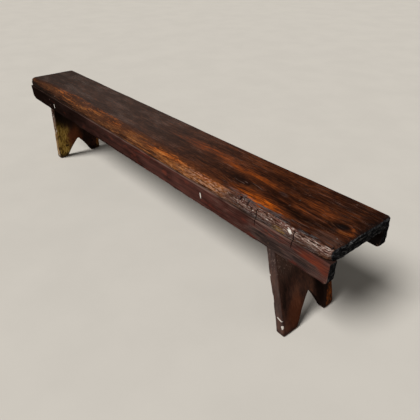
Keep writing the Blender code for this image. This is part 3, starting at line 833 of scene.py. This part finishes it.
def finish_apron(node, side, shades):
    """Red-brown varnish, darker at the left end, with an upper arris laid pale for dust and a painted
    highlight, painted shade on the hidden faces and charcoal ends.
    """
    f = Finish(f"{node}_red_varnish", shades)
    x, y, z = f.x, f.y, f.z
    tilt = 2 + side
    bend = z + f.noise(x * 1.6, z * 9, tilt, 2).sway(0.02)
    streak = f.noise(x * 2, y * 60 + tilt, bend * 80, 4, 0.6)
    fine = f.noise(x * 12, y * 300, bend * 420, 3, 0.6)
    cloud = f.noise(x * 5, y * 9 + tilt, z * 16, 3, 0.6)
    grain = streak * 0.34 + fine * 0.3 + cloud * 0.36
    f.base = f.ramp(grain, apron_dark=0.4, apron_red=0.5, apron_light=0.61)
    dark_left = (x + cloud.sway(0.25)).fall(-0.72, 0.58)
    f.over(dark_left * 0.94, "pitch")
    smudge = f.noise(x * 13 + tilt, y * 20, z * 46, 5, 0.66)
    glow = f.spot(x, z, 0.99, 0.36, 0.085, 0.036) + cloud.sway(1.4) + streak.sway(1)
    glow = (glow - smudge.sway(2.4)).step(0.2, 1.2)
    f.over(glow * 0.74, f.ramp(grain, apron_dark=0.4, apron_glow=0.49, flare_low=0.6))
    patch = f.spots(x, z, APRON_PATCHES) * 1.2 + smudge.sway(2.4)
    dull = f.ramp(fine * 0.6 + smudge * 0.4, soot=0.38, apron_grey=0.48, grey=0.62)
    f.over((patch + fine.sway(1.2)).step(0, 1) * x.step(0.3, 0.75, 0.1, 0.82), dull)
    f.over((patch + smudge.sway(2)).step(0.7, 1.6) * 0.7, "soot")
    f.over(smudge.fall(0.34, 0.45) * x.step(-0.5, 0.2) * 0.35, "apron_glow")
    # Painted shade: every face but the outer one is laid nearly black, the rear apron's the most.
    f.over((y * side).fall(*APRON_FACE) * (0.85 if side < 0 else 0.97), "pitch")
    arris = f.mask("arris")
    # Dust and a painted highlight: the upper arris and the top face are laid pale grey.
    dust = (arris.step(0.25, 0.9) * z.step(*APRON_BROW)).most(z.step(*APRON_TOP))
    dust = dust * (cloud * 0.4 + fine * 0.6).step(0.4, 0.58, 0.15, 0.9)
    f.over(dust * x.step(-0.6, 0.1, 0.3, 1) * x.step(0.9, 1.02, 1, 0.15), "grey")
    # Painted highlight: the lower arris is laid paler grey.
    pale_arris = arris.step(0.3, 1) * z.fall(0.33, 0.36) * cloud.step(0.42, 0.62)
    f.over(pale_arris * x.step(0.3, 0.8, 0.3, 0.65), "grey")
    if side < 0:
        scratch = f.spots(x, z, APRON_SCRATCHES)
        scratch = (scratch + smudge.sway(2)).step(0.15, 0.6) * scratch.step(0, 0.3)
        f.over(scratch * 0.9, "chip")
        for place, level in SAW_CUTS[:2]:
            kerf = abs(x - place).fall(0.0008, 0.002) * z.step(0.362, 0.368) * level
            f.over(kerf, "pitch")
    end = f.mask("end_face")
    rings = f.noise(y * 140 + tilt, z * 80, x * 60, 5, 0.7, 0.8)
    end_wood = f.ramp(rings, soot=0.42, char=0.56, char_light=0.72)
    # Painted shade: the rear apron's end grain is laid darker than the front apron's.
    if side > 0:
        end_wood = f.blend(0.6, end_wood, "soot")
    f.over(end.step(0.1, 0.7), end_wood)
    rough = 0.4 + cloud.sway(0.3) + fine.sway(0.15) + end * 0.35
    relief = f.bump(streak * 0.5 + fine * 0.5, 0.25, 0.0009)
    relief = f.bump(rings * end, 0.8, 0.003, relief)
    shine = cloud.step(0.4, 0.62, 0.02, 0.09) * x.step(-0.7, 0.3, 0.15, 1)
    return f.done(rough, relief, Coat_Weight=shine * (1 - end), Coat_Roughness=0.25)


def finish_leg(node, side, shades):
    """Dark brown varnish with upright grain; the left leg keeps ochre paint on its front foot."""
    f = Finish(f"{node}_old_finish", shades)
    x, y, z = f.x, f.y, f.z
    bend = y + f.noise(x * 6, y * 9, z * 1.8 + side, 2).sway(0.03)
    streak = f.noise(x * 40, bend * 48, z * 2.2 + side, 4, 0.6)
    fine = f.noise(x * 260, bend * 380, z * 14, 3, 0.6)
    cloud = f.noise(x * 14, y * 14, z * 8 + side, 4, 0.6)
    grain = streak * 0.24 + fine * 0.28 + cloud * 0.48
    f.base = f.ramp(grain, leg_dark=0.39, leg_brown=0.5, leg_light=0.61)
    blotch = f.noise(x * 60, y * 90, z * 26, 5, 0.65)
    # Painted shade: the back part of each leg, under the seat and the rear apron, is laid nearly black.
    painted_back_shade = (y + cloud.sway(0.06)).step(-0.06, 0.02) if side < 0 else y.step(0.02, 0.06)
    f.over(painted_back_shade * (0.42 if side < 0 else 0.8), "pitch")
    rim = 0.08 if side > 0 else 0.094
    margin = (y - z * 0.25 + streak.sway(0.03)).step(rim, rim + 0.008) * z.fall(0.2, 0.28)
    f.over(margin * 0.62, f.ramp(fine, leg_dark=0.4, gold_low=0.5, flare=0.62))
    if side < 0:
        low_front = (y + cloud.sway(0.1)).fall(-0.085, -0.03) * z.fall(0.2, 0.29)
        crust = fine * 0.35 + blotch * 0.65
        paint = low_front.most(margin * 0.2) * crust.step(0.38, 0.5)
        f.over(paint * 0.94, f.ramp(crust, leg_dark=0.4, ochre=0.47, ochre_light=0.57))
        warm = f.spot(y, z, -0.03, 0.11, 0.06, 0.08) + cloud.sway(1) + streak.sway(1)
        f.over(warm.step(0, 1) * 0.3, "flare_low")
        low_speck = f.cells(x * 52, y * 52, z * 40)
        black = low_speck.fall(0.22, 0.34) * z.fall(0.07, 0.15) * blotch.step(0.4, 0.48)
        f.over(black * 0.95, "pitch")
        f.over((z + blotch.sway(0.08)).fall(0.01, 0.045) * 0.7, "pitch")
        # Painted shade under the apron: the top of the left leg is laid nearly black.
        f.over((z + cloud.sway(0.12)).step(0.15, 0.24) * 0.95, "pitch")
    else:
        scuff = f.noise(x * 180, y * 240, z * 110, 3, 0.65).step(0.57, 0.66) * z.step(0.2, 0.27)
        # Painted sheen: the upper outer face of the right leg is greyed.
        f.over(z.step(0.17, 0.28) * y.step(-0.124, -0.118) * (1 - painted_back_shade) * 0.3, "grey")
        f.over(scuff * (1 - painted_back_shade) * 0.5, "pink")
        warm = (f.spot(y, z, -0.06, 0.06, 0.06, 0.09) + cloud.sway(1.2)).step(0.15, 0.9)
        f.over(warm * 0.24, "flare_low")
    arris = f.mask("arris")
    sill = y.fall(*LEG_EDGE)
    bleached = f.ramp(blotch, leg_brown=0.4, grey=0.54, pink=0.68)
    f.over(sill * (0.55 if side < 0 else 0.15), bleached)
    if side > 0:
        f.over(sill * 0.3, "ash")
    pale_arris = arris.step(0.35, 0.9) * cloud.step(0.5, 0.64)
    f.over(pale_arris * 0.45, "gold_low")
    chips = f.cells(x * 48, y * 48, z * 34)
    chipped = (chips + blotch.sway(0.8)).fall(0.12, 0.22) * arris.step(0.2, 0.6) * cloud.step(0.47, 0.55)
    chipped = chipped * y.fall(-0.11, -0.09)
    if side < 0:
        flake = f.noise(x * 110, y * 110, z * 62, 5, 0.72).step(0.585, 0.62)
        chipped = chipped.most(flake * sill * cloud.step(0.42, 0.52))
    else:
        for place in LEG_CHIPS:
            spot = f.spot(x, z, *place) * y.fall(-0.126, -0.118)
            chipped = chipped.most((spot + blotch.sway(2)).step(0.35, 0.6) * spot.step(0, 0.2))
    f.over(chipped * 0.9, "chip")
    dirt = (z + cloud.sway(0.03)).fall(0.006, 0.03)
    f.over(dirt * 0.6, "pitch")
    dusty = (z + blotch.sway(0.02)).fall(0.004, 0.012) * blotch.step(0.42, 0.56)
    f.over(dusty * 0.5, "pink")
    end = f.mask("end_face")
    rough = 0.44 + cloud.sway(0.3) + fine.sway(0.2) + end * 0.2
    relief = f.bump(streak * 0.5 + fine * 0.5, 0.3, 0.0012)
    relief = f.bump(blotch, 0.25, 0.002, relief)
    shine = cloud.step(0.4, 0.62, 0.02, 0.08)
    return f.done(rough, relief, Coat_Weight=shine * (1 - end) * (1 if side > 0 else 0.4),
                  Coat_Roughness=0.28)


def stand_in(piece, material, node):
    """Give a piece its material and let it ride on the bench in its CAD board's place."""
    piece.data.materials.append(material)
    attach(piece, "root")
    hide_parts(node)


class BENCH_OT_seat(bpy.types.Operator):
    """Make the worn seat plank"""
    bl_idname = "bench.seat"
    bl_label = "Seat"

    def execute(self, context):
        piece = shape_seat(context.scene.bench_wear)
        stand_in(piece, finish_seat(context.scene.bench_colours), "seat_plank")
        return {"FINISHED"}


class BENCH_OT_aprons(bpy.types.Operator):
    """Make the front and the rear apron"""
    bl_idname = "bench.aprons"
    bl_label = "Aprons"

    def execute(self, context):
        for node, side in (("front_apron", -1), ("rear_apron", 1)):
            piece = shape_apron(node, side, context.scene.bench_wear)
            varnish = finish_apron(node, side, context.scene.bench_colours)
            stand_in(piece, varnish, node)
        return {"FINISHED"}


class BENCH_OT_legs(bpy.types.Operator):
    """Make the two notched legs"""
    bl_idname = "bench.legs"
    bl_label = "Legs"

    def execute(self, context):
        for node, side in (("left_leg", -1), ("right_leg", 1)):
            piece = shape_leg(node, side, context.scene.bench_wear)
            varnish = finish_leg(node, side, context.scene.bench_colours)
            stand_in(piece, varnish, node)
        return {"FINISHED"}


class BENCH_OT_nails(bpy.types.Operator):
    """Give every nail of the CAD model a dull oxide with patches of rust"""
    bl_idname = "bench.nails"
    bl_label = "Nails"

    def execute(self, context):
        f = Finish("nail_oxide", context.scene.bench_colours)
        patch = f.noise(f.x * 220, f.y * 220, f.z * 220, 3, 0.6)
        f.base = f.ramp(patch, iron=0.4, rust=0.62)
        oxide = f.done(0.55 + patch.sway(0.5), f.bump(patch, 0.5, 0.0006), 0.1)
        for name in SEAT_NAILS + APRON_NAILS:
            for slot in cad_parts[name].material_slots:
                slot.material = oxide
        return {"FINISHED"}


def set_sky(scene, stage):
    """An even light all round, and a pale background for what is seen or mirrored."""
    scene.world = bpy.data.worlds.new("soft_sky")
    scene.world.use_nodes = True
    sky = Nodes(scene.world.node_tree)
    light = sky.tree.nodes["Background"]
    sky.fill(light.inputs["Color"], SKY_TINT)
    sky.fill(light.inputs["Strength"], stage.sky_level)
    seen = sky.node("Background", {}, {"Color": stage.background})
    rays = [sky.node("LightPath", {}, {}, f"Is {kind} Ray")
            for kind in ("Camera", "Glossy", "Transmission")]
    mix = sky.node("MixShader", {}, {
        0: reduce(Value.most, rays), 1: Value(sky, light.outputs[0]), 2: seen})
    sky.fill(sky.tree.nodes["World Output"].inputs["Surface"], mix)


class BENCH_OT_stage(bpy.types.Operator):
    """Set up the floor, the background, the light and the camera"""
    bl_idname = "bench.stage"
    bl_label = "Stage"

    def execute(self, context):
        scene, stage = context.scene, context.scene.bench_stage
        scene.view_settings.view_transform = "Standard"
        deselect()
        bpy.ops.mesh.primitive_plane_add(size=FLOOR_SIZE)
        floor = context.object
        floor.name = "floor"
        f = Finish("floor_paper")
        speckle = f.noise(f.x * 3, f.y * 3, f.z * 3, 4)
        shaded = [part * FLOOR_SHADE for part in stage.floor]
        f.base = f.blend(speckle.step(0.3, 0.7), shaded, stage.floor)
        floor.data.materials.append(f.done(0.9, f.bump(speckle, 0.05, 0.002), 0.1))
        bpy.ops.object.light_add(type="SUN", location=(0, -2, 3),
                                 rotation=(math.pi / 2 - stage.key_height, 0, 0))
        lamp = context.object
        lamp.name = "front_light"
        lamp.data.energy, lamp.data.angle = stage.key_level, stage.key_angle
        set_sky(scene, stage)
        bpy.ops.object.camera_add(location=stage.camera_place, rotation=stage.camera_turn)
        camera = context.object
        camera.name = "photo_camera"
        camera.data.sensor_fit = "HORIZONTAL"
        camera.data.sensor_width = SENSOR_WIDTH
        camera.data.lens = stage.camera_lens
        camera.data.shift_x, camera.data.shift_y = stage.camera_shift
        scene.camera = camera
        return {"FINISHED"}


class BENCH_PT_panel(bpy.types.Panel):
    """Lists the bench's pieces, sizes and colours"""
    bl_idname = "BENCH_PT_panel"
    bl_label = "Pig Bench"
    bl_space_type = "VIEW_3D"
    bl_region_type = "UI"
    bl_category = "Bench"

    def draw(self, context):
        for operator in OPERATORS:
            self.layout.operator(operator.bl_idname)
        for group, kind in GROUPS.items():
            box = self.layout.box()
            for name in kind.__annotations__:
                box.prop(getattr(context.scene, group), name)


GROUPS = {"bench_wear": BenchWear, "bench_colours": BenchColours, "bench_stage": BenchStage}
OPERATORS = (BENCH_OT_seat, BENCH_OT_aprons, BENCH_OT_legs, BENCH_OT_nails, BENCH_OT_stage)


def register():
    for group, kind in GROUPS.items():
        bpy.utils.register_class(kind)
        setattr(bpy.types.Scene, group, PointerProperty(type=kind))
    for kind in (*OPERATORS, BENCH_PT_panel):
        bpy.utils.register_class(kind)


def unregister():
    for kind in (BENCH_PT_panel, *reversed(OPERATORS)):
        bpy.utils.unregister_class(kind)
    for group, kind in GROUPS.items():
        delattr(bpy.types.Scene, group)
        bpy.utils.unregister_class(kind)


def main():
    register()
    bpy.ops.bench.seat()
    bpy.ops.bench.aprons()
    bpy.ops.bench.legs()
    bpy.ops.bench.nails()
    bpy.ops.bench.stage()


if __name__ == "__main__":
    main()
